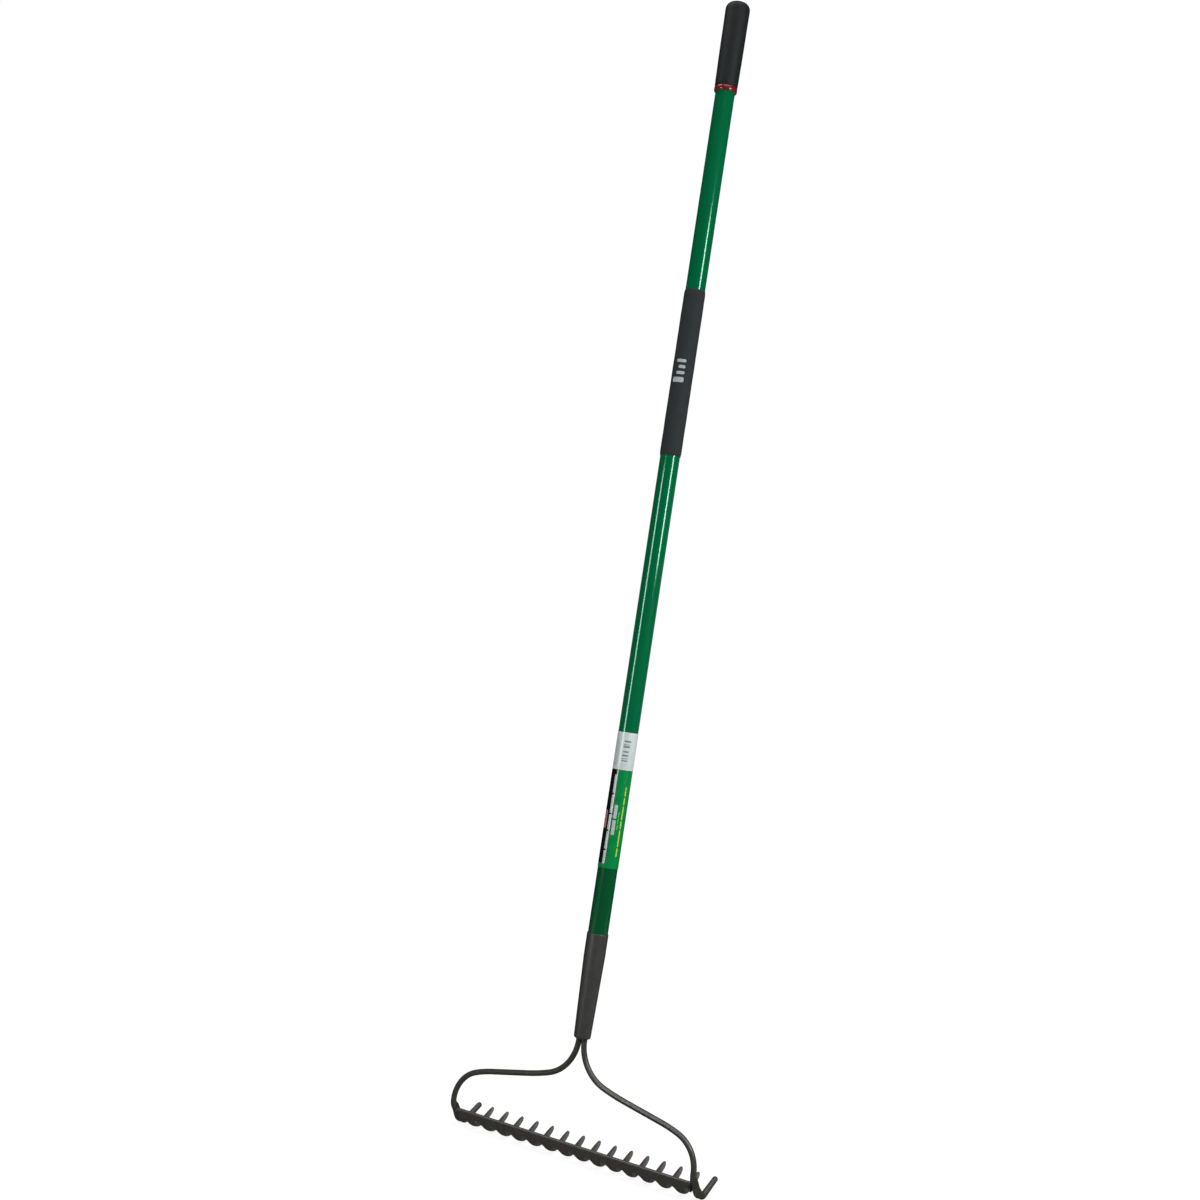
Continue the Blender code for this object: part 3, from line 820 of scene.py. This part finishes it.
def build_weld(name, side, node):
    """Painted weld bead in the corner behind the bar's end, with its ripples."""
    rng = random.Random(17 if side > 0 else 23)
    start = 4.4  # mm in from the rod's axis
    seat = 2.55 * MM
    loops = []
    steps = 26
    for k in range(steps + 1):
        t = k / steps
        s = (1.0 + 11.4 * t) * MM
        ripple = 1.0 + 0.10 * sin(tau * 4.5 * t) + rng.uniform(-0.03, 0.03)
        swell = (0.55 + 0.45 * sin(pi * t) ** 0.5) * ripple
        loop = []
        for j in range(9):
            a = pi / 2 * j / 8
            sunk = 1.0 - 0.18 * sin(2 * a)
            loop.append((start + 3.2 * swell * sunk * cos(a), seat + 2.7 * MM * swell * sunk * sin(a)))
        loop.append((start, seat))
        loops.append([head_point(side * (BOW_HALF - u * MM), s, w) for u, w in loop])
    show(name, loft(loops), weld_mat, node, 60.0)


build_pole()
build_ferrule()
build_band("label_band", "label_sleeve", label_green)
build_band("sticker_band", "label_sticker", sticker_mat)
build_mid_grip()
build_end_grip()
build_ring()
build_marks()
build_rod("rod_right", 1.0, "bow_rod_right")
build_rod("rod_left", -1.0, "bow_rod_left")
build_head()
build_weld("bead_right", 1.0, "weld_right")
build_weld("bead_left", -1.0, "weld_left")
for node_name in ("tube_plug", "core_plug"):
    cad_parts[node_name].data.materials.clear()
    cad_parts[node_name].data.materials.append(plug_mat)


# ---------------------------------------------------------------- studio

FILL = (0.12, 0.12, 0.12)
DARK = (0.004, 0.004, 0.004)
WHITE = (1.0, 1.0, 1.0)
FLOOR_GLOW = 0.90


def build_floor():
    """Plain white floor: most of its brightness is its own, so the rake's shadow on it stays faint."""
    bm = bmesh.new()
    bmesh.ops.create_circle(bm, cap_ends=True, radius=60.0, segments=64)
    mesh = bpy.data.meshes.new("floor")
    bm.to_mesh(mesh)
    bm.free()
    p = Paint("floor_white", (0.12, 0.12, 0.12), 0.9)
    cloud = p.noise(1.5, 2.0)
    p.colour(p.mix(cloud, (0.117, 0.117, 0.117), (0.123, 0.123, 0.123)))
    p.set("Specular IOR Level", 0.0)
    p.set("Emission Color", (1.0, 1.0, 1.0, 1.0))
    p.set("Emission Strength", FLOOR_GLOW)
    mesh.materials.append(p.mat)
    obj = bpy.data.objects.new("floor", mesh)
    obj.location = (0.0, 0.0, -0.0005)
    obj.visible_glossy = False
    bpy.context.scene.collection.objects.link(obj)


def build_sky():
    """Studio surroundings: an even soft fill, near black in reflections, white where seen directly."""
    world = bpy.data.worlds.new("studio")
    bpy.context.scene.world = world
    world.use_nodes = True
    nodes, links = world.node_tree.nodes, world.node_tree.links
    nodes.clear()
    out = nodes.new("ShaderNodeOutputWorld")
    path = nodes.new("ShaderNodeLightPath")
    shader = None
    for ray, shade in ((None, FILL), ("Is Glossy Ray", DARK), ("Is Camera Ray", WHITE)):
        plain = nodes.new("ShaderNodeBackground")
        plain.inputs["Color"].default_value = (*shade, 1.0)
        if shader is None:
            shader = plain.outputs["Background"]
            continue
        mixer = nodes.new("ShaderNodeMixShader")
        links.new(path.outputs[ray], mixer.inputs[0])
        links.new(shader, mixer.inputs[1])
        links.new(plain.outputs["Background"], mixer.inputs[2])
        shader = mixer.outputs["Shader"]
    links.new(shader, out.inputs["Surface"])


def lamp(name, data, place, target, seen_in):
    """Aim a light at the target. It is never seen itself, only in the kinds of light that are named."""
    obj = bpy.data.objects.new(name, data)
    aim = (place - target).to_track_quat("Z", "Y").to_matrix().to_4x4()
    obj.matrix_world = Matrix.Translation(place) @ aim
    obj.visible_camera = False
    obj.visible_diffuse = "diffuse" in seen_in
    obj.visible_glossy = "gloss" in seen_in
    bpy.context.scene.collection.objects.link(obj)


def softbox(name, turn, low, high, wide, radiance, seen_in, distance=1.6):
    """An upright soft light, turned round the handle from FRONT. A positive turn is to the camera's right."""
    data = bpy.data.lights.new(name, "AREA")
    data.shape = "RECTANGLE"
    data.size = wide
    data.size_y = high - low
    data.energy = radiance * pi * wide * (high - low)
    a = FRONT + radians(turn)
    centre = Vector((0.0, BASE.y, (low + high) / 2))
    lamp(name, data, centre + Vector((distance * cos(a), distance * sin(a), 0.0)), centre, seen_in)


def overhead(name, lean, turn, strength, angle):
    """Very soft light from above, leaning a little to one side."""
    data = bpy.data.lights.new(name, "SUN")
    data.energy = strength * pi
    data.angle = radians(angle)
    a = FRONT + radians(turn)
    away = Vector((sin(radians(lean)) * cos(a), sin(radians(lean)) * sin(a), cos(radians(lean))))
    lamp(name, data, away * 4.0, Vector((0.0, 0.0, 0.0)), "diffuse gloss")


EYE = (1.1917, -2.0686, 0.4703)  # from BASE, in metres
LENS = 50.17
EYE_TURN = 31.587
EYE_RISE = 3.4946
EYE_ROLL = 8.7153


def build_camera():
    """The camera stands behind the tines and to the right, looks a little up and is rolled to one side."""
    data = bpy.data.cameras.new("camera")
    data.sensor_width = 36.0
    data.lens = LENS
    data.clip_start = 0.05
    data.clip_end = 200.0
    obj = bpy.data.objects.new("camera", data)
    place = Matrix.Translation((EYE[0], BASE.y + EYE[1], BASE.z + EYE[2]))
    turn = Matrix.Rotation(radians(EYE_TURN), 4, "Z")
    tilt = Matrix.Rotation(radians(90.0 + EYE_RISE), 4, "X")
    roll = Matrix.Rotation(radians(EYE_ROLL), 4, "Z")
    obj.matrix_world = place @ turn @ tilt @ roll
    bpy.context.scene.collection.objects.link(obj)
    bpy.context.scene.camera = obj


build_floor()
build_sky()
overhead("top_soft", 25.0, 10.0, 1.05, 70.0)
softbox("key_right", 70.0, 0.35, 1.85, 1.4, 3.4, "diffuse", 2.2)
softbox("strip_right", 45.0, 0.94, 1.97, 0.34, 25.0, "gloss")
softbox("strip_left", -50.0, 0.27, 1.22, 0.34, 15.0, "gloss")
softbox("edge_right", 140.0, 0.5, 1.35, 0.8, 0.20, "gloss")
softbox("edge_left", -145.0, 0.5, 1.35, 0.8, 0.15, "gloss")
softbox("low_right", 95.0, 0.0, 0.1, 0.6, 1.0, "gloss", 0.9)
softbox("low_left", -70.0, 0.0, 0.1, 0.6, 1.2, "gloss", 0.9)
softbox("high_left", -80.0, 2.7, 3.8, 1.6, 10.0, "gloss")
build_camera()
bpy.context.scene.view_settings.view_transform = "Standard"
